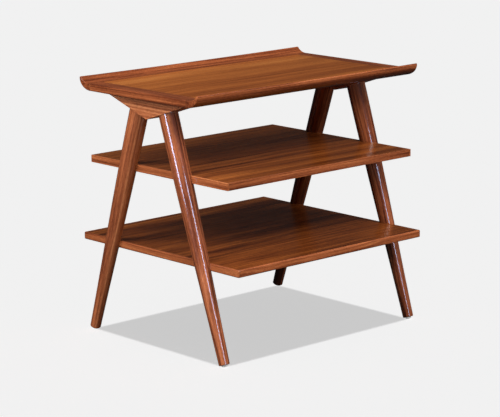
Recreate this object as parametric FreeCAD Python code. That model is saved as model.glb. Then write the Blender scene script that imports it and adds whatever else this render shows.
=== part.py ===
import FreeCAD, Part
import math
import os

os.makedirs("parts", exist_ok=True)

V = FreeCAD.Vector

# A three-tier photo album stand in walnut. Millimetres, +X along the top's length, +Y to the back,
# +Z up. The origin is on the floor, under the middle of the top.

# --- Driving dimensions: the top -------------------------------------------------------------------
TOP_LENGTH = 762.0
SLAB_BOTTOM = 640.0
SLAB_THICKNESS = 19.0
END_RAIL_WIDTH = 40.0        # of the cross-grain rail at each end
END_ARRIS = 2.0              # radius of the rounded edge round each end of the top
LIP_JOINT_Y = 183.0          # glue joint between the panel and a lip rail
LIP_REACH_Y = 225.5          # outermost line of a lip
COVE_RADIUS = 40.0
CREST_RADIUS = 2.3
CREST_Z_MIDDLE = 671.5       # top of a lip, halfway along
CREST_Z_TIP = 673.0          # and at its tips, where it sweeps up a little
UNDERCUT_START_Y = 185.0     # where the flat underside turns up into the lip's rounded outside

TONGUE_REACH = 8.0
TONGUE_THICKNESS = 6.0
FRAME_DOWEL_RADIUS = 3.0
FRAME_DOWEL_REACH = 16.0     # into each of the two rails that it joins
FRAME_DOWEL_Z = 648.0
FRAME_DOWEL_INSETS = (12.0, 28.0)    # from the end of the top

# --- Driving dimensions: leg blocks and legs -------------------------------------------------------
SPLAY = 18.2                 # degrees from the vertical, towards the front or the back
LEG_X = 326.5
BLOCK_WIDTH = 52.0           # along X, centred on the legs
BLOCK_END_THICKNESS = 1.5
RIDGE_Z = 586.3
RIDGE_RADIUS = 2.0
BLOCK_ARRIS = 0.8
LEG_FROM_RIDGE = 57.6        # leg centre from the ridge, along the block's sloping face
LEG_RADII = (                # fraction of the leg's length from the foot, radius
    (0.00, 13.7),
    (0.25, 16.8),
    (0.50, 20.5),
    (0.75, 23.3),
    (0.88, 24.2),
    (1.00, 24.5),
)
FOOT_CHAMFER = 1.8
TENON_RADIUS = 11.0
TENON_LENGTH = 28.0
TENON_CHAMFER = 1.5
BORE_CLEARANCE = 0.3         # round the tenon and beyond its end

SCREW_Y = 112.0              # block screws, either side of the ridge
SCREW_SHANK_RADIUS = 2.1
SCREW_HEAD_RADIUS = 4.2
SCREW_HEAD_THICKNESS = 2.6
SCREW_SLOT_WIDTH = 1.0
SCREW_SLOT_DEPTH = 1.2
SCREW_HEAD_Z = 631.0         # upper face of the screw's head, against the wood of the block
SCREW_BITE = 13.0            # length of the screw inside the top panel
COUNTERBORE_CLEARANCE = 0.5

# --- Driving dimensions: glides --------------------------------------------------------------------
GLIDE_RADIUS = 7.5
GLIDE_RIM = 3.0
GLIDE_DOME = 2.0
NAIL_RADIUS = 1.1
NAIL_LENGTH = 16.0           # above the glide, inside the leg
NAIL_POINT = 2.5
NAIL_HEAD_RADIUS = 3.4
NAIL_HEAD_THICKNESS = 0.9
NAIL_HEAD_DEPTH = 1.6        # nylon between the nail's head and the leg

# --- Driving dimensions: shelves -------------------------------------------------------------------
SHELF_LENGTH = 640.0
SHELF_THICKNESS = 19.0
BAND = 5.0                   # thickness of the solid bands
NOTCH_CLEARANCE = 0.3        # between a leg and the notch that it sits in
SHELF_DOWEL_RADIUS = 4.0
SHELF_DOWEL_X = (278.0, 322.0)       # inner end in the shelf, outer end in the leg
SHELVES = {                  # height of the upper face, depth, corner radius, edge radius
    "mid_shelf": (459.0, 524.0, 1.2, 0.9),
    "lower_shelf": (250.0, 598.0, 4.0, 3.0),
}

# --- Worked out from them --------------------------------------------------------------------------
HALF_LENGTH = TOP_LENGTH / 2
SLAB_TOP = SLAB_BOTTOM + SLAB_THICKNESS
PANEL_HALF_LENGTH = HALF_LENGTH - END_RAIL_WIDTH
SIN = math.sin(math.radians(SPLAY))
COS = math.cos(math.radians(SPLAY))
SHOULDER_Y = LEG_FROM_RIDGE * COS
SHOULDER_Z = RIDGE_Z + LEG_FROM_RIDGE * SIN
GLIDE_HEIGHT = GLIDE_RIM + GLIDE_DOME
DOME_RADIUS = (GLIDE_RADIUS ** 2 + GLIDE_DOME ** 2) / (2 * GLIDE_DOME)
# The dome touches the floor, and the centre of its sphere lies on the leg's axis.
FOOT_Z = DOME_RADIUS - (DOME_RADIUS - GLIDE_HEIGHT) * COS
LEG_LENGTH = (SHOULDER_Z - FOOT_Z) / COS

SIDES = {"left": -1, "right": 1}
FACES = {"front": -1, "back": 1}
CORNERS = {f"{face}_{side}": (sx, sy) for side, sx in SIDES.items() for face, sy in FACES.items()}


def box(x0, x1, y0, y1, z0, z1):
    """A box between two corners, given in either order."""
    low = V(min(x0, x1), min(y0, y1), min(z0, z1))
    return Part.makeBox(abs(x1 - x0), abs(y1 - y0), abs(z1 - z0), low)


def rod(radius, start, end):
    """A plain cylinder between two points."""
    return Part.makeCylinder(radius, (end - start).Length, start, end - start)


def turned(outline):
    """A solid of revolution about Z, from points (radius, height) joined by straight lines."""
    points = [V(r, 0, z) for r, z in outline]
    face = Part.Face(Part.makePolygon(points + points[:1]))
    return face.revolve(V(0, 0, 0), V(0, 0, 1), 360)


def mirrored(shape, normal):
    """The same piece on the other side of the stand."""
    return shape.mirror(V(0, 0, 0), normal)


def save(name, shape):
    """Writes one node."""
    shape.exportStep(f"parts/{name}.step")


# --- The top ---------------------------------------------------------------------------------------
def crest_z(x):
    """Height of a lip's crest at x, lowest halfway along."""
    return CREST_Z_MIDDLE + (CREST_Z_TIP - CREST_Z_MIDDLE) * (x / HALF_LENGTH) ** 2


def lip_section(x, inset=0.0):
    """Closed outline of the back lip rail at x: joint, flat, cove, crest and quarter ellipse.

    inset draws the outline in, except along the joint, for the rounded edge at the rail's ends.
    """
    flat = SLAB_TOP - inset
    bottom = SLAB_BOTTOM + inset
    crest = V(x, LIP_REACH_Y - CREST_RADIUS - inset / 2, crest_z(x) - CREST_RADIUS - inset / 2)
    crest_radius = CREST_RADIUS - inset / 2
    # The cove's circle rests on the flat and touches the crest's circle from outside.
    cove_z = flat + COVE_RADIUS
    reach = COVE_RADIUS + crest_radius
    cove_y = crest.y - math.sqrt(reach ** 2 - (cove_z - crest.z) ** 2)
    cove = V(x, cove_y, cove_z)
    lean = math.atan2(crest.y - cove_y, cove_z - crest.z)
    crest_turn = (math.pi / 2 + lean) / 2

    def on_cove(angle):
        return cove + COVE_RADIUS * V(0, math.sin(angle), -math.cos(angle))

    def on_crest(angle):
        return crest + crest_radius * V(0, math.cos(angle), math.sin(angle))

    joint_low = V(x, LIP_JOINT_Y, bottom)
    joint_high = V(x, LIP_JOINT_Y, flat)
    undercut = V(x, UNDERCUT_START_Y, bottom)
    outermost = on_crest(0)
    outside = Part.Ellipse(outermost, undercut, V(x, UNDERCUT_START_Y, crest.z))
    return Part.Wire([
        Part.makeLine(joint_low, joint_high),
        Part.makeLine(joint_high, on_cove(0)),
        Part.Arc(on_cove(0), on_cove(lean / 2), on_cove(lean)).toShape(),
        Part.Arc(on_cove(lean), on_crest(crest_turn), outermost).toShape(),
        Part.ArcOfEllipse(outside, 0, math.pi / 2).toShape(),
        Part.makeLine(undercut, joint_low),
    ])


def end_section(x, inset=0.0):
    """Outline of an end rail at x."""
    y = LIP_JOINT_Y
    low = SLAB_BOTTOM + inset
    high = SLAB_TOP - inset
    return Part.makePolygon([V(x, -y, low), V(x, y, low), V(x, y, high), V(x, -y, high), V(x, -y, low)])


def end_piece(section, side):
    """The stretch of a rail over one end of the top, with its rounded end edge."""
    arris_start = HALF_LENGTH - END_ARRIS
    stations = (PANEL_HALF_LENGTH, (PANEL_HALF_LENGTH + arris_start) / 2, arris_start)
    body = Part.makeLoft([section(side * x) for x in stations], True, False)
    rounding = []
    for angle in (0, math.pi / 4, math.pi / 2):
        x = arris_start + END_ARRIS * math.sin(angle)
        rounding.append(section(side * x, END_ARRIS * (1 - math.cos(angle))))
    return body.fuse(Part.makeLoft(rounding, True, False))


def tongue():
    """The tongue round the panel, and with it the shape of the grooves."""
    x = PANEL_HALF_LENGTH + TONGUE_REACH
    y = LIP_JOINT_Y + TONGUE_REACH
    middle = SLAB_BOTTOM + SLAB_THICKNESS / 2
    return box(-x, x, -y, y, middle - TONGUE_THICKNESS / 2, middle + TONGUE_THICKNESS / 2)


def frame_dowels():
    """Two dowels at each corner, between a lip rail and an end rail."""
    dowels = []
    for sx, sy in CORNERS.values():
        for inset in FRAME_DOWEL_INSETS:
            x = sx * (HALF_LENGTH - inset)
            inner = V(x, sy * (LIP_JOINT_Y - FRAME_DOWEL_REACH), FRAME_DOWEL_Z)
            outer = V(x, sy * (LIP_JOINT_Y + FRAME_DOWEL_REACH), FRAME_DOWEL_Z)
            dowels.append(rod(FRAME_DOWEL_RADIUS, inner, outer))
    return Part.makeCompound(dowels)


def block_screw(x, y):
    """A slotted screw that holds a leg block up against the top panel."""
    top = SLAB_BOTTOM + SCREW_BITE
    underside = SCREW_HEAD_Z - SCREW_HEAD_THICKNESS
    shank = rod(SCREW_SHANK_RADIUS, V(x, y, SCREW_HEAD_Z), V(x, y, top))
    head = rod(SCREW_HEAD_RADIUS, V(x, y, underside), V(x, y, SCREW_HEAD_Z))
    reach = SCREW_HEAD_RADIUS + 1
    half = SCREW_SLOT_WIDTH / 2
    slot = box(x - reach, x + reach, y - half, y + half, underside - 1, underside + SCREW_SLOT_DEPTH)
    return shank.fuse(head).cut(slot)


def make_top():
    """The panel and its four rails."""
    stations = (-PANEL_HALF_LENGTH, 0.0, PANEL_HALF_LENGTH)
    back = Part.makeLoft([lip_section(x) for x in stations], True, False)
    for side in SIDES.values():
        back = back.fuse(end_piece(lip_section, side))
    dowels = frame_dowels()
    back = back.cut(tongue())
    front = mirrored(back, V(0, 1, 0)).cut(dowels)
    save("back_lip_rail", back.cut(dowels))
    save("front_lip_rail", front)
    for name, side in SIDES.items():
        save(f"{name}_end_rail", end_piece(end_section, side).cut(tongue()).cut(dowels))
    save("top_frame_dowels", dowels)

    x = PANEL_HALF_LENGTH
    y = LIP_JOINT_Y
    panel = box(-x, x, -y, y, SLAB_BOTTOM, SLAB_TOP).fuse(tongue())
    screws = Part.makeCompound([block_screw(sx * LEG_X, sy * SCREW_Y) for sx, sy in CORNERS.values()])
    save("top_panel", panel.cut(screws))
    save("block_screws", screws)


# --- Leg blocks ------------------------------------------------------------------------------------
def block_outline(x):
    """Outline of a block's end: flat top, blunt tips and a rounded ridge."""
    tip_z = SLAB_BOTTOM - BLOCK_END_THICKNESS
    tip_y = (tip_z - RIDGE_Z) * COS / SIN
    # The ridge's arc touches both slopes, so its centre is straight above the sharp ridge.
    centre_z = RIDGE_Z + RIDGE_RADIUS / COS
    touch_y = RIDGE_RADIUS * SIN
    touch_z = centre_z - RIDGE_RADIUS * COS
    ridge = Part.Arc(V(x, touch_y, touch_z), V(x, 0, centre_z - RIDGE_RADIUS), V(x, -touch_y, touch_z))
    upper = Part.makePolygon([
        V(x, -touch_y, touch_z),
        V(x, -tip_y, tip_z),
        V(x, -tip_y, SLAB_BOTTOM),
        V(x, tip_y, SLAB_BOTTOM),
        V(x, tip_y, tip_z),
        V(x, touch_y, touch_z),
    ])
    return Part.Wire(upper.Edges + [ridge.toShape()])


def make_blocks():
    """One V-shaped block under each end of the top, bored for two tenons and two screws."""
    start = LEG_X - BLOCK_WIDTH / 2
    blank = Part.Face(block_outline(start)).extrude(V(BLOCK_WIDTH, 0, 0))
    lower_edges = []
    for edge in blank.Edges:
        bounds = edge.BoundBox
        if bounds.XLength < 0.01 and bounds.ZMin < SLAB_BOTTOM - 1:
            lower_edges.append(edge)
    block = blank.makeFillet(BLOCK_ARRIS, lower_edges)
    for sy in FACES.values():
        shoulder = V(LEG_X, sy * SHOULDER_Y, SHOULDER_Z)
        up = V(0, -sy * SIN, COS)
        depth = TENON_LENGTH + BORE_CLEARANCE
        block = block.cut(rod(TENON_RADIUS + BORE_CLEARANCE, shoulder - up, shoulder + depth * up))
        floor = V(LEG_X, sy * SCREW_Y, SCREW_HEAD_Z)
        mouth = V(LEG_X, sy * SCREW_Y, RIDGE_Z)
        block = block.cut(rod(SCREW_HEAD_RADIUS + COUNTERBORE_CLEARANCE, mouth, floor))
        block = block.cut(rod(SCREW_SHANK_RADIUS, floor, V(LEG_X, sy * SCREW_Y, SLAB_BOTTOM)))
    save("right_leg_block", block)
    save("left_leg_block", mirrored(block, V(1, 0, 0)))


# --- Legs and glides, each made upright with the foot's end at the origin --------------------------
def leg_blank(extra=0.0):
    """A leg without its tenon, swollen all round by extra."""
    curve = Part.BSplineCurve()
    curve.interpolate([V(r + extra, 0, share * LEG_LENGTH) for share, r in LEG_RADII])
    foot = V(LEG_RADII[0][1] + extra, 0, 0)
    shoulder = V(LEG_RADII[-1][1] + extra, 0, LEG_LENGTH)
    rest = Part.makePolygon([shoulder, V(0, 0, LEG_LENGTH), V(0, 0, 0), foot])
    face = Part.Face(Part.Wire([curve.toShape()] + rest.Edges))
    return face.revolve(V(0, 0, 0), V(0, 0, 1), 360)


def leg_upright():
    """A leg with its chamfered foot and its tenon."""
    blank = leg_blank()
    foot_edges = [e for e in blank.Edges if e.BoundBox.ZMax < 0.01 and e.BoundBox.YLength > 1]
    end = LEG_LENGTH + TENON_LENGTH
    tenon = turned([
        (0, LEG_LENGTH - 1),
        (TENON_RADIUS, LEG_LENGTH - 1),
        (TENON_RADIUS, end - TENON_CHAMFER),
        (TENON_RADIUS - TENON_CHAMFER, end),
        (0, end),
    ])
    return blank.makeChamfer(FOOT_CHAMFER, foot_edges).fuse(tenon)


def nail_upright():
    """The nail of a glide: its head inside the nylon, its shank inside the leg."""
    head_top = -NAIL_HEAD_DEPTH
    return turned([
        (0, head_top - NAIL_HEAD_THICKNESS),
        (NAIL_HEAD_RADIUS, head_top - NAIL_HEAD_THICKNESS),
        (NAIL_HEAD_RADIUS, head_top),
        (NAIL_RADIUS, head_top),
        (NAIL_RADIUS, NAIL_LENGTH - NAIL_POINT),
        (0, NAIL_LENGTH),
    ])


def glide_upright():
    """A round glide with a domed underside."""
    barrel = Part.makeCylinder(GLIDE_RADIUS, GLIDE_HEIGHT, V(0, 0, -GLIDE_HEIGHT))
    sphere = Part.makeSphere(DOME_RADIUS, V(0, 0, DOME_RADIUS - GLIDE_HEIGHT))
    return barrel.common(sphere).cut(nail_upright())


def stood(shape, sx, sy):
    """An upright piece, leaned to the splay and moved to its corner of the stand."""
    placed = shape.copy()
    foot = V(sx * LEG_X, sy * (SHOULDER_Y + LEG_LENGTH * SIN), FOOT_Z)
    placed.Placement = FreeCAD.Placement(foot, FreeCAD.Rotation(V(1, 0, 0), sy * SPLAY))
    return placed


def shelf_dowel(sx, sy, shelf_top):
    """The dowel between a shelf and a leg, at the bottom of the leg's notch."""
    z = shelf_top - SHELF_THICKNESS / 2
    y = sy * (SHOULDER_Y + (SHOULDER_Z - z) * SIN / COS)
    inner, outer = SHELF_DOWEL_X
    return rod(SHELF_DOWEL_RADIUS, V(sx * inner, y, z), V(sx * outer, y, z))


def make_legs():
    """The four legs, each with a glide and its nail."""
    leg = leg_upright().cut(nail_upright())
    glide = glide_upright()
    nails = []
    for name, (sx, sy) in CORNERS.items():
        placed = stood(leg, sx, sy)
        for shelf_top, *_ in SHELVES.values():
            placed = placed.cut(shelf_dowel(sx, sy, shelf_top))
        save(f"{name}_leg", placed)
        save(f"{name}_glide", stood(glide, sx, sy))
        nails.append(stood(nail_upright(), sx, sy))
    save("glide_nails", Part.makeCompound(nails))


# --- Shelves ---------------------------------------------------------------------------------------
def make_shelf(name, top, depth, corner_radius, edge_radius):
    """A veneered panel with solid bands, notched for the legs. The end bands run the full depth."""
    half_length = SHELF_LENGTH / 2
    half_depth = depth / 2
    bottom = top - SHELF_THICKNESS
    whole = box(-half_length, half_length, -half_depth, half_depth, bottom, top)
    corners = [e for e in whole.Edges if e.BoundBox.ZLength > 1]
    whole = whole.makeFillet(corner_radius, corners)
    rims = [e for e in whole.Edges if e.BoundBox.ZLength < 0.01]
    whole = whole.makeFillet(edge_radius, rims)
    swollen = leg_blank(NOTCH_CLEARANCE)
    for sx, sy in CORNERS.values():
        whole = whole.cut(stood(swollen, sx, sy))
    dowels = Part.makeCompound([shelf_dowel(sx, sy, top) for sx, sy in CORNERS.values()])

    inner_x = half_length - BAND
    inner_y = half_depth - BAND
    core = box(-inner_x, inner_x, -inner_y, inner_y, bottom, top)
    save(f"{name}_panel", whole.common(core).cut(dowels))
    for side_name, side in SIDES.items():
        band = box(side * inner_x, side * half_length, -half_depth, half_depth, bottom, top)
        save(f"{name}_{side_name}_band", whole.common(band))
    for face_name, face in FACES.items():
        band = box(-inner_x, inner_x, face * inner_y, face * half_depth, bottom, top)
        save(f"{name}_{face_name}_band", whole.common(band))
    save(f"{name}_dowels", dowels)


make_top()
make_blocks()
make_legs()
for shelf_name, shelf_sizes in SHELVES.items():
    make_shelf(shelf_name, *shelf_sizes)
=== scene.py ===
"""Looks, light and camera for a three-tier walnut photo album stand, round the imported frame. Metres."""

import math

import bpy
from mathutils import Matrix, Vector

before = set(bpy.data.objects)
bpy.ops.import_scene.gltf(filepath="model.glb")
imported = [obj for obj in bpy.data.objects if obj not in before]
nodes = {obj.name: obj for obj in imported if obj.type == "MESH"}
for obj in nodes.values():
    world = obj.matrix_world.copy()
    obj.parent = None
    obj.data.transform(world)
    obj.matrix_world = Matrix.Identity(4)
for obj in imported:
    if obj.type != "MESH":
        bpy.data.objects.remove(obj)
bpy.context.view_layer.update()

# --- Driving values --------------------------------------------------------------------------------
SPLAY = math.radians(18.2)          # of the legs, to the front or the back

CAMERA_AZIMUTH = -42.54
CAMERA_ELEVATION = 12.18
CAMERA_ROLL = -0.41
CAMERA_DISTANCE = 5.663
CAMERA_TARGET = Vector((-0.0071, 0.0, 0.3102))
CAMERA_LENS = 157.13                # millimetres
CAMERA_SENSOR = 36.0                # millimetres across

FLOOR_SHADE = 0.597                 # how bright the floor is in the stand's shadow
FLOOR_LIT = 0.283                   # what the floor's own lamp adds to that
FLOOR_WHITE = 0.8                   # how much of that lamp's light the floor returns
FLOOR_REACH = 30.0                  # metres from its middle to its edges
FLOOR_LAMP_ANGLE = 2.5              # degrees across, for a nearly crisp shadow
CARD = (0.327, 0.252, 0.30)         # half length, half width and height of the card that shades the floor

# Colours of the lamps and of the dark room round them.
BLUE = (0.48, 0.66, 1.0)
COOL = (0.80, 0.89, 1.0)
NEUTRAL = (1.0, 0.98, 0.95)
ROOM = (0.90, 0.95, 1.0, 1.0)
ROOM_LIGHT = 0.022                  # radiance of the dark room round the softboxes
# Each softbox: radiance, colour, place, point that it faces, width, height.
SOFTBOXES = {
    "left_strip": (34.0, BLUE, (-2.5, -0.29, 0.74), (0.0, -0.25, 0.55), 0.46, 0.50),
    "left_window": (8.5, NEUTRAL, (-2.3, -0.27, 1.50), (0.0, -0.25, 0.50), 0.70, 1.00),
    "left_fill": (7.5, COOL, (-2.2, 0.85, 1.60), (0.0, 0.0, 0.50), 1.00, 1.00),
    "left_key": (8.2, NEUTRAL, (-2.05, 0.60, 2.60), (0.0, 0.0, 0.50), 1.60, 1.40),
    "front_strip": (27.0, BLUE, (-0.56, -1.75, 0.62), (-0.32, 0.0, 0.55), 0.24, 0.80),
    "front_right_strip": (20.0, BLUE, (0.04, -1.75, 0.62), (0.32, 0.0, 0.55), 0.22, 0.90),
    "front_key": (8.4, NEUTRAL, (-0.85, -2.30, 2.20), (0.0, 0.0, 0.50), 1.50, 1.20),
    "right_key": (10.5, NEUTRAL, (0.75, -2.00, 2.65), (0.0, 0.0, 0.50), 1.30, 1.20),
    "right_fill": (2.0, NEUTRAL, (2.25, -1.25, 0.95), (0.0, 0.0, 0.50), 2.20, 1.40),
    "camera_fill": (0.9, NEUTRAL, (-2.5, -2.6, 1.60), (0.0, 0.0, 0.50), 2.40, 2.00),
}
RIGHT_LEGS = ("front_right_leg", "back_right_leg")
# Nodes that flags keep a softbox off.
FLAGGED = {
    "left_window": RIGHT_LEGS,
    "left_key": ("back_right_leg",),
    "front_key": ("back_right_leg",),
    "left_fill": RIGHT_LEGS,
    "camera_fill": RIGHT_LEGS,
}
# Softboxes that light the wood but don't mirror in its lacquer.
MATT_FILLS = ("left_window", "left_fill", "front_key", "right_fill", "camera_fill")
# The nodes that the narrow strips are aimed at. They reach nothing else.
STRIPS = {
    "left_strip": ("front_left_leg", "back_left_leg", "left_leg_block"),
    "front_strip": ("front_left_leg",),
    "front_right_strip": ("front_right_leg",),
}

# Coat roughness. The front legs shine more than the other pieces.
LEG_GLOSS = {"front_left": 0.075, "front_right": 0.075, "back_left": 0.16, "back_right": 0.25}
FLAT_GLOSS = 0.22

# Euler angles that turn the grain's direction onto X.
GRAIN_X = (0.0, 0.0, 0.0)
GRAIN_Y = (0.0, 0.0, math.radians(-90))

# How much lighter or darker than the middle of its colours each piece is.
TOP_TONE = 0.02
END_RAIL_TONE = -0.12
BLOCK_TONE = 0.27
DOWEL_TONE = 0.0
LEG_TONES = {"front_left": 0.08, "front_right": -0.13, "back_left": 0.18, "back_right": -0.06}
LIP_TONES = {"front": -0.15, "back": -0.07}
BAND_TONES = {"left": 0.16, "right": 0.16, "front": 0.09, "back": 0.09}
SHELF_TONES = {"mid_shelf": -0.11, "lower_shelf": -0.20}

# How strong the markings of each kind of piece are: the wide ones, the narrow ones.
TOP_FIGURE = (0.45, 0.6)
RAIL_FIGURE = (0.7, 1.2)
BLOCK_FIGURE = (0.5, 1.2)
LEG_FIGURE = (0.7, 1.3)
SHELF_FIGURE = (0.6, 1.0)
BAND_FIGURE = (0.6, 1.2)
DOWEL_FIGURE = (1.0, 1.0)

# The seed of the first board of each kind. The others count on from it, so no two boards are alike.
TOP_SEED = 1.0
LIP_SEED = 2.0
END_RAIL_SEED = 4.0
BLOCK_SEED = 6.0
LEG_SEED = 8.0
SHELF_SEED = 12.0
BAND_SEED = 14.0
DOWEL_SEED = 30.0

# Glue joints: object axis, distance of the joint from zero, half width of its dark line.
PANEL_END_JOINT = (0, 0.341, 0.0012)
LIP_JOINT = (1, 0.183, 0.0012)
BAND_END_JOINT = (0, 0.315, 0.0008)
# Broad dark (or, below zero, light) bands in the top's veneer: place across the grain, half width, depth.
TOP_STREAKS = (
    (-0.020, 0.050, 0.14),
    (-0.105, 0.028, 0.14),
    (0.140, 0.060, -0.16),
    (-0.165, 0.030, -0.12),
)
# The drying check in the left block: its place along Y, lowest and highest point, half width.
BLOCK_CHECK = (0.034, 0.606, 0.638, 0.0011)

# The wood's figure.
PITH = (0.09, -0.12)                 # where the tree's pith is, on the two axes across the grain
SEED_SHIFT = 3.7                     # metres along the grain from one board's figure to the next seed's
SEED_RINGS = 1.7                     # and across its rings
RING_SCALE = 34.0                    # per metre: groups of growth rings
GROWTH_SCALE = 240.0                 # and single rings
SWAY = 0.06                          # of the rings from side to side, in metres
# Sizes of features, in metres: length along the grain, width across it.
WANDER = (0.40, 0.15)
CLOUD = (0.50, 0.060)
STREAK = (0.30, 0.010)
FIBRE = (0.09, 0.0022)
FLECK = (0.012, 0.0030)
PORE = (0.010, 0.0007)
SKIN = (0.05, 0.02)
# How much each of them lightens or darkens the wood.
BROAD_WEIGHTS = {"rings": 1.5, "cloud": 0.9}
FINE_WEIGHTS = {"growth": 0.5, "streak": 0.8, "fibre": 0.6, "fleck": 0.35}

# Linear colours of lacquered walnut, from its darkest streaks to its lightest.
WALNUT = (
    (0.00, (0.060, 0.012, 0.003)),
    (0.25, (0.165, 0.038, 0.007)),
    (0.50, (0.300, 0.080, 0.015)),
    (0.75, (0.430, 0.130, 0.026)),
    (1.00, (0.590, 0.210, 0.050)),
)
# The same for the redder solid wood.
RED_WALNUT = (
    (0.00, (0.055, 0.010, 0.004)),
    (0.25, (0.148, 0.033, 0.011)),
    (0.50, (0.276, 0.072, 0.024)),
    (0.75, (0.404, 0.115, 0.039)),
    (1.00, (0.560, 0.188, 0.068)),
)
BEECH = (
    (0.00, (0.380, 0.230, 0.110)),
    (1.00, (0.640, 0.450, 0.260)),
)
PORE_CUT = (0.60, 0.70)              # noise up to the first shows no pores, beyond the second full ones
PORE_DARKNESS = 0.5
PORE_COLOR = (0.03, 0.009, 0.004, 1.0)
GLUE_COLOR = (0.02, 0.006, 0.003, 1.0)
# The pale colour along the arrises: partly wear of the lacquer, partly a painted highlight that eased
# edges catch.
WORN_AND_HIGHLIT_EDGE = (0.560, 0.240, 0.095, 1.0)
WEAR_AND_HIGHLIGHT_WIDTH = 0.0016                  # of the pale strip along each arris: wear, and a painted highlight
WEAR_AND_HIGHLIGHT_TURN = (0.78, 0.97)             # cosine from the face to the eased arris: full wear and highlight, none
WEAR_AND_HIGHLIGHT_SCALE = 28.0                    # per metre: patches of more and less wear and painted highlight
WEAR_AND_HIGHLIGHT_AMOUNT = (0.15, 0.75)           # of the arris's colour, in the weakest and the strongest patches


# --- Small helpers for shader nodes ----------------------------------------------------------------
class Graph:
    """The node tree of one new material, filled by short calls that return output sockets."""

    def __init__(self, name):
        self.material = bpy.data.materials.new(name)
        self.material.use_nodes = True
        self.tree = self.material.node_tree
        self.tree.nodes.clear()

    def add(self, kind, settings, inputs):
        """Adds a node. settings are its properties, inputs its sockets by name or index."""
        node = self.tree.nodes.new(kind)
        for key, value in settings.items():
            setattr(node, key, value)
        for key, value in inputs.items():
            if isinstance(value, bpy.types.NodeSocket):
                self.tree.links.new(value, node.inputs[key])
            else:
                node.inputs[key].default_value = value
        return node

    def math(self, operation, a, b=0.0):
        return self.add("ShaderNodeMath", {"operation": operation}, {0: a, 1: b}).outputs[0]

    def gap(self, value, place):
        """Distance of value from place."""
        return self.math("ABSOLUTE", self.math("SUBTRACT", value, place))

    def noise(self, vector, scale, detail=2.0, roughness=0.5):
        inputs = {"Vector": vector, "Scale": scale, "Detail": detail, "Roughness": roughness}
        return self.add("ShaderNodeTexNoise", {}, inputs).outputs["Fac"]

    def band_noise(self, value, scale, detail):
        """One-dimensional noise along value."""
        inputs = {"W": value, "Scale": scale, "Detail": detail}
        return self.add("ShaderNodeTexNoise", {"noise_dimensions": "1D"}, inputs).outputs["Fac"]

    def stretch(self, value, low, high, to_low=0.0, to_high=1.0):
        """Maps low..high onto to_low..to_high, with soft ends and nothing beyond them."""
        inputs = {"Value": value, "From Min": low, "From Max": high, "To Min": to_low, "To Max": to_high}
        return self.add("ShaderNodeMapRange", {"interpolation_type": "SMOOTHSTEP"}, inputs).outputs[0]

    def mix(self, factor, a, b):
        """Colour a where factor is 0, b where it is 1."""
        return self.add("ShaderNodeMix", {"data_type": "RGBA"}, {0: factor, 6: a, 7: b}).outputs[2]

    def ramp(self, factor, stops):
        """Colour ramp through stops (position, colour)."""
        node = self.add("ShaderNodeValToRGB", {}, {"Fac": factor})
        elements = node.color_ramp.elements
        elements[0].position, elements[0].color = stops[0][0], (*stops[0][1], 1.0)
        elements[1].position, elements[1].color = stops[-1][0], (*stops[-1][1], 1.0)
        for position, color in stops[1:-1]:
            elements.new(position).color = (*color, 1.0)
        return node.outputs["Color"]


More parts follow.
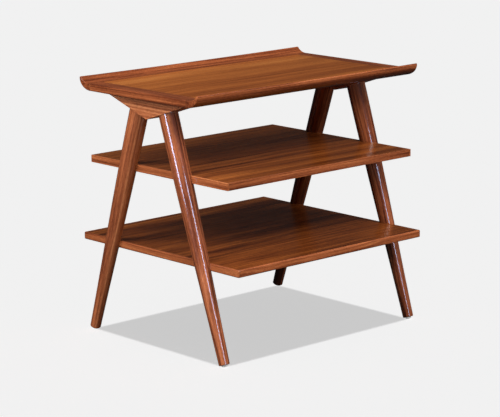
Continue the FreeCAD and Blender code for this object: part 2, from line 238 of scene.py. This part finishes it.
def wood(name, turn, seed, tone, figure, streaks=(), joints=(), check=None, colors=RED_WALNUT,
         gloss=FLAT_GLOSS):
    """Lacquered wood as a solid texture: growth rings round a pith, fibres and pores along the grain.

    figure is as TOP_FIGURE, streaks as TOP_STREAKS, each of joints as LIP_JOINT, and check as BLOCK_CHECK.
    """
    broad, fine = figure
    g = Graph(name)
    place = g.add("ShaderNodeTexCoord", {}, {}).outputs["Object"]
    turned = g.add("ShaderNodeMapping", {}, {"Vector": place, "Rotation": turn}).outputs[0]
    shift = {"Vector": turned, "Location": (SEED_SHIFT * seed, 0.0, 0.0)}
    board = g.add("ShaderNodeMapping", {}, shift).outputs[0]

    def grained(size, detail=2.0, roughness=0.5):
        """Noise whose features have the given length and width along and across the grain."""
        length, width = size
        inputs = {"Vector": board, "Scale": (1 / length, 1 / width, 1 / width)}
        return g.noise(g.add("ShaderNodeMapping", {}, inputs).outputs[0], 1.0, detail, roughness)

    def weighed(value, weight):
        """Noise about zero, times weight."""
        return g.math("MULTIPLY", g.math("SUBTRACT", value, 0.5), weight)

    # Growth rings: distance from the pith, wandering slowly along the board.
    axes = g.add("ShaderNodeSeparateXYZ", {}, {"Vector": board}).outputs
    across = g.math("ADD", axes[1], weighed(grained(WANDER), SWAY))
    wide = g.math("SUBTRACT", across, PITH[0])
    deep = g.math("SUBTRACT", axes[2], PITH[1])
    radius = g.math("SQRT", g.math("ADD", g.math("MULTIPLY", wide, wide), g.math("MULTIPLY", deep, deep)))
    shifted = g.math("ADD", radius, SEED_RINGS * seed)
    fibre = grained(FIBRE, 3.0, 0.6)
    broad_noises = {"rings": g.band_noise(shifted, RING_SCALE, 3.0), "cloud": grained(CLOUD)}
    fine_noises = {
        "growth": g.band_noise(shifted, GROWTH_SCALE, 1.0),
        "streak": grained(STREAK),
        "fibre": fibre,
        "fleck": grained(FLECK, 2.0, 0.7),
    }

    shade = 0.5 + tone
    for feature, noise in broad_noises.items():
        shade = g.math("ADD", weighed(noise, BROAD_WEIGHTS[feature] * broad), shade)
    for feature, noise in fine_noises.items():
        shade = g.math("ADD", shade, weighed(noise, FINE_WEIGHTS[feature] * fine))
    for centre, half_width, depth in streaks:
        shade = g.math("SUBTRACT", shade, g.stretch(g.gap(across, centre), 0.0, half_width, depth, 0.0))
    color = g.ramp(shade, colors)
    pores = g.stretch(grained(PORE, 1.0), *PORE_CUT)
    color = g.mix(g.math("MULTIPLY", pores, PORE_DARKNESS), color, PORE_COLOR)

    sides = g.add("ShaderNodeSeparateXYZ", {}, {"Vector": place}).outputs
    for axis, distance, half_width in joints:
        off = g.gap(g.math("ABSOLUTE", sides[axis]), distance)
        color = g.mix(g.stretch(off, 0.0, half_width, 0.85, 0.0), color, GLUE_COLOR)
    if check:
        along_y, low, high, half_width = check
        opening = g.stretch(g.gap(sides[1], along_y), 0.0, half_width, 0.8, 0.0)
        reach = g.gap(sides[2], (low + high) / 2)
        ends = g.stretch(reach, (high - low) / 3, (high - low) / 2, 1.0, 0.0)
        color = g.mix(g.math("MULTIPLY", opening, ends), color, GLUE_COLOR)

    # Wear and painted highlight: the wood is painted pale along the arrises, partly as rubbed lacquer and
    # partly as the highlight that eased edges catch, more in some places than in others.
    eased = g.add("ShaderNodeBevel", {"samples": 6}, {"Radius": WEAR_AND_HIGHLIGHT_WIDTH}).outputs[0]
    facing = g.add("ShaderNodeNewGeometry", {}, {}).outputs["Normal"]
    product = g.add("ShaderNodeVectorMath", {"operation": "DOT_PRODUCT"}, {0: eased, 1: facing})
    at_arris = g.stretch(product.outputs["Value"], *WEAR_AND_HIGHLIGHT_TURN, 1.0, 0.0)
    patches = g.stretch(g.noise(board, WEAR_AND_HIGHLIGHT_SCALE), 0.35, 0.65, *WEAR_AND_HIGHLIGHT_AMOUNT)
    worn_and_highlit = g.math("MULTIPLY", at_arris, patches)
    color = g.mix(worn_and_highlit, color, WORN_AND_HIGHLIT_EDGE)

    height = g.math("SUBTRACT", g.math("MULTIPLY", fibre, 0.3), pores)
    bump = g.add("ShaderNodeBump", {}, {"Strength": 0.06, "Distance": 0.0004, "Height": height}).outputs[0]
    shader = g.add("ShaderNodeBsdfPrincipled", {}, {
        "Base Color": color,
        "Roughness": g.stretch(grained(SKIN), 0.2, 0.8, 0.38, 0.50),
        "Specular IOR Level": 0.12,
        "Coat Weight": 0.9,
        "Coat Roughness": gloss,
        "Coat IOR": 1.5,
        "Normal": bump,
    })
    g.add("ShaderNodeOutputMaterial", {}, {"Surface": shader.outputs[0]})
    return g.material


def nylon():
    """Slightly translucent white nylon with moulding mottle, and a painted glow that makes it brighter
    than its light alone would.
    """
    g = Graph("glide_nylon_painted_glow")
    place = g.add("ShaderNodeTexCoord", {}, {}).outputs["Object"]
    mottle = g.noise(place, 160.0, 3.0)
    color = g.mix(mottle, (0.80, 0.80, 0.78, 1.0), (0.88, 0.88, 0.87, 1.0))
    bump = g.add("ShaderNodeBump", {}, {"Strength": 0.1, "Distance": 0.0003, "Height": mottle}).outputs[0]
    shader = g.add("ShaderNodeBsdfPrincipled", {}, {
        "Base Color": color,
        "Roughness": g.stretch(mottle, 0.2, 0.8, 0.35, 0.5),
        "Subsurface Weight": 0.1,
        "Subsurface Radius": (0.004, 0.004, 0.004),
        "Subsurface Scale": 1.0,
        # Painted light: the nylon glows a little, though it is no lamp.
        "Emission Color": (1.0, 1.0, 1.0, 1.0),
        "Emission Strength": 0.25,
        "Normal": bump,
    })
    g.add("ShaderNodeOutputMaterial", {}, {"Surface": shader.outputs[0]})
    return g.material


def steel():
    """Zinc-plated steel of the screws and nails."""
    g = Graph("zinc_steel")
    place = g.add("ShaderNodeTexCoord", {}, {}).outputs["Object"]
    grime = g.noise(place, 220.0, 3.0)
    color = g.mix(grime, (0.42, 0.40, 0.36, 1.0), (0.62, 0.61, 0.58, 1.0))
    shader = g.add("ShaderNodeBsdfPrincipled", {}, {
        "Base Color": color,
        "Metallic": 1.0,
        "Roughness": g.stretch(grime, 0.2, 0.8, 0.28, 0.5),
    })
    g.add("ShaderNodeOutputMaterial", {}, {"Surface": shader.outputs[0]})
    return g.material


# --- Materials for every CAD node ------------------------------------------------------------------
def dress(name, material):
    """Gives a CAD node its material."""
    slots = nodes[name].material_slots
    if len(slots) == 0:
        nodes[name].data.materials.append(material)
    for slot in slots:
        slot.link = "OBJECT"
        slot.material = material


frame_joints = (PANEL_END_JOINT, LIP_JOINT)
top_wood = wood("top_veneer", GRAIN_X, TOP_SEED, TOP_TONE, TOP_FIGURE, TOP_STREAKS, frame_joints,
                colors=WALNUT)
dress("top_panel", top_wood)
for index, (side, tone) in enumerate(LIP_TONES.items()):
    name = f"{side}_lip_wood"
    lip_wood = wood(name, GRAIN_X, LIP_SEED + index, tone, RAIL_FIGURE, joints=(LIP_JOINT,))
    dress(f"{side}_lip_rail", lip_wood)
for index, side in enumerate(("left", "right")):
    name = f"{side}_end_rail_wood"
    rail_wood = wood(name, GRAIN_Y, END_RAIL_SEED + index, END_RAIL_TONE, RAIL_FIGURE, joints=frame_joints)
    dress(f"{side}_end_rail", rail_wood)
    name = f"{side}_block_wood"
    check = BLOCK_CHECK if side == "left" else None
    block_wood = wood(name, GRAIN_Y, BLOCK_SEED + index, BLOCK_TONE, BLOCK_FIGURE, check=check)
    dress(f"{side}_leg_block", block_wood)
for index, (corner, tone) in enumerate(LEG_TONES.items()):
    lean = SPLAY if corner.startswith("front") else -SPLAY
    turn = tuple((Matrix.Rotation(math.radians(90), 3, "Y") @ Matrix.Rotation(lean, 3, "X")).to_euler())
    name = f"{corner}_leg_wood"
    leg_wood = wood(name, turn, LEG_SEED + index, tone, LEG_FIGURE, gloss=LEG_GLOSS[corner])
    dress(f"{corner}_leg", leg_wood)
for index, (shelf, shelf_tone) in enumerate(SHELF_TONES.items()):
    name = f"{shelf}_veneer"
    shelf_wood = wood(name, GRAIN_X, SHELF_SEED + index, shelf_tone, SHELF_FIGURE, colors=WALNUT)
    dress(f"{shelf}_panel", shelf_wood)
    for side_index, (side, tone) in enumerate(BAND_TONES.items()):
        name = f"{shelf}_{side}_band_wood"
        turn = GRAIN_Y if side in ("left", "right") else GRAIN_X
        seed = BAND_SEED + len(BAND_TONES) * index + side_index
        band_wood = wood(name, turn, seed, tone, BAND_FIGURE, joints=(BAND_END_JOINT,))
        dress(f"{shelf}_{side}_band", band_wood)

glide_glow_material = nylon()
steel_material = steel()
dowel_material = wood("dowel_beech", GRAIN_Y, DOWEL_SEED, DOWEL_TONE, DOWEL_FIGURE, colors=BEECH)
for corner in LEG_TONES:
    dress(f"{corner}_glide", glide_glow_material)
for name in ("block_screws", "glide_nails"):
    dress(name, steel_material)
for name in ("top_frame_dowels", "mid_shelf_dowels", "lower_shelf_dowels"):
    dress(name, dowel_material)


# --- Floor, light and camera -----------------------------------------------------------------------
def sheet(name, x, y, z):
    """A level rectangle at height z, with x and y its half length and half width."""
    mesh = bpy.data.meshes.new(name)
    mesh.from_pydata([(-x, -y, z), (x, -y, z), (x, y, z), (-x, y, z)], [], [(0, 1, 2, 3)])
    made = bpy.data.objects.new(name, mesh)
    bpy.context.scene.collection.objects.link(made)
    # It throws no light at the stand and doesn't mirror in it.
    made.visible_diffuse = False
    made.visible_glossy = False
    return made


def floor():
    """A plain pale floor. A glow of its own keeps it at FLOOR_SHADE where its lamp doesn't reach."""
    made = sheet("floor", FLOOR_REACH, FLOOR_REACH, 0.0)
    g = Graph("pale_floor")
    glow = FLOOR_SHADE - FLOOR_WHITE * ROOM_LIGHT
    shade = (glow, glow, glow, 1.0)
    white = (FLOOR_WHITE, FLOOR_WHITE, FLOOR_WHITE, 1.0)
    base = g.add("ShaderNodeEmission", {}, {"Color": shade, "Strength": 1.0}).outputs[0]
    lit = g.add("ShaderNodeBsdfDiffuse", {}, {"Color": white}).outputs[0]
    both = g.add("ShaderNodeAddShader", {}, {0: base, 1: lit}).outputs[0]
    g.add("ShaderNodeOutputMaterial", {}, {"Surface": both})
    made.data.materials.append(g.material)
    return made


def shadow_card():
    """A card as large as the square of the feet. Only the floor's lamp sees it, and casts its shadow."""
    made = sheet("shadow_card", *CARD)
    made.visible_camera = False
    made.visible_transmission = False
    return made


def linked(name, items, state):
    """A collection for light linking, with every item in it set to INCLUDE or EXCLUDE."""
    group = bpy.data.collections.new(name)
    for item in items:
        group.objects.link(item)
    for link in group.collection_objects:
        link.light_linking.link_state = state
    return group


def lamp(name, kind, strength, color, position, aim):
    """A lamp that looks from position to aim."""
    data = bpy.data.lights.new(name, kind)
    data.energy = strength
    data.color = color
    made = bpy.data.objects.new(name, data)
    bpy.context.scene.collection.objects.link(made)
    made.location = position
    made.rotation_mode = "QUATERNION"
    made.rotation_quaternion = (Vector(aim) - Vector(position)).to_track_quat("-Z", "Y")
    return made


def softbox(name, radiance, color, position, aim, width, height):
    """A rectangular area lamp of the given radiance."""
    made = lamp(name, "AREA", radiance * math.pi * width * height, color, position, aim)
    made.data.shape = "RECTANGLE"
    made.data.size = width
    made.data.size_y = height
    return made


def light_stand():
    """Softboxes for the stand, and for the floor a lamp of its own, straight above."""
    ground = floor()
    card = shadow_card()
    all_but_card = linked("all_but_card", [card], "EXCLUDE")
    for name, (radiance, color, place, aim, width, height) in SOFTBOXES.items():
        made = softbox(name, radiance, color, place, aim, width, height)
        if name in STRIPS:
            reached = linked(f"{name}_targets", [nodes[node] for node in STRIPS[name]], "INCLUDE")
        else:
            kept_off = [nodes[node] for node in FLAGGED.get(name, ())]
            reached = linked(f"{name}_flags", [ground, *kept_off], "EXCLUDE")
        made.light_linking.receiver_collection = reached
        made.visible_glossy = name not in MATT_FILLS
        made.light_linking.blocker_collection = all_but_card
    energy = FLOOR_LIT * math.pi / FLOOR_WHITE
    # The aim is a hair off the vertical, because a lamp that looks straight down has no fixed turn.
    overhead = lamp("floor_lamp", "SUN", energy, (1.0, 1.0, 1.0), (0, 0, 3), (0, 0.001, 0))
    overhead.data.angle = math.radians(FLOOR_LAMP_ANGLE)
    overhead.light_linking.receiver_collection = linked("floor_only", [ground], "INCLUDE")
    overhead.light_linking.blocker_collection = linked("card_only", [card], "INCLUDE")

    world = bpy.data.worlds.new("studio")
    world.use_nodes = True
    background = world.node_tree.nodes["Background"]
    background.inputs["Color"].default_value = ROOM
    background.inputs["Strength"].default_value = ROOM_LIGHT
    bpy.context.scene.world = world


def camera():
    """The camera, rolled a little about its line of sight."""
    azimuth, elevation, roll = map(math.radians, (CAMERA_AZIMUTH, CAMERA_ELEVATION, CAMERA_ROLL))
    back = Vector((
        math.sin(azimuth) * math.cos(elevation),
        -math.cos(azimuth) * math.cos(elevation),
        math.sin(elevation),
    ))
    data = bpy.data.cameras.new("camera")
    data.lens = CAMERA_LENS
    data.sensor_width = CAMERA_SENSOR
    data.clip_start = 0.1
    data.clip_end = 200.0
    made = bpy.data.objects.new("camera", data)
    bpy.context.scene.collection.objects.link(made)
    made.location = CAMERA_TARGET + back * CAMERA_DISTANCE
    made.rotation_mode = "QUATERNION"
    level = back.to_track_quat("Z", "Y")
    made.rotation_quaternion = level @ Matrix.Rotation(roll, 3, "Z").to_quaternion()
    bpy.context.scene.camera = made


light_stand()
camera()
bpy.context.scene.view_settings.view_transform = "Standard"
